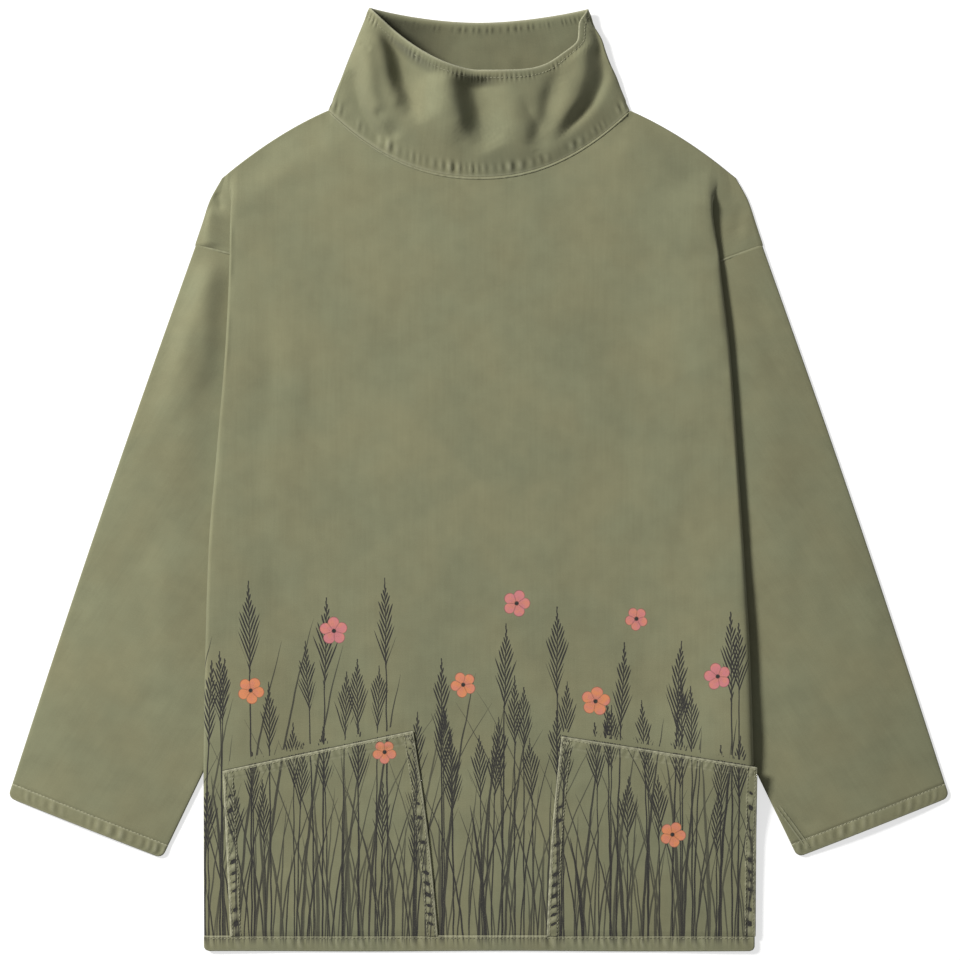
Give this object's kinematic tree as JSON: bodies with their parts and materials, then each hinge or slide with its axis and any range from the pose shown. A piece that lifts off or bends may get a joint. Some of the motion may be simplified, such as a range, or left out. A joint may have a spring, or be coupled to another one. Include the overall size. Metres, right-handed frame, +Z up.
{
  "type": "fisherman smock laid flat",
  "caption": "Pullover cotton smock with a funnel neck, dropped shoulders, long straight sleeves and patch pockets, laid out flat with its front up.",
  "frame": {"origin": "on the surface the smock lies on, under the middle of its whole outline", "axes": "+Z up from the surface through the cloth, +Y from the hem to the collar, +X to the right of someone who looks down at the front"},
  "size_m": [0.856, 0.855, 0.0294],
  "materials": {
    "drill": "washed olive cotton drill, matt, paler along its seams"
  },
  "bodies": {
    "root": {"back": "drill", "sleeve_right": "drill", "sleeve_left": "drill", "front": "drill", "collar": "drill", "pocket_right": "drill", "pocket_left": "drill"}
  },
  "joints": []
}
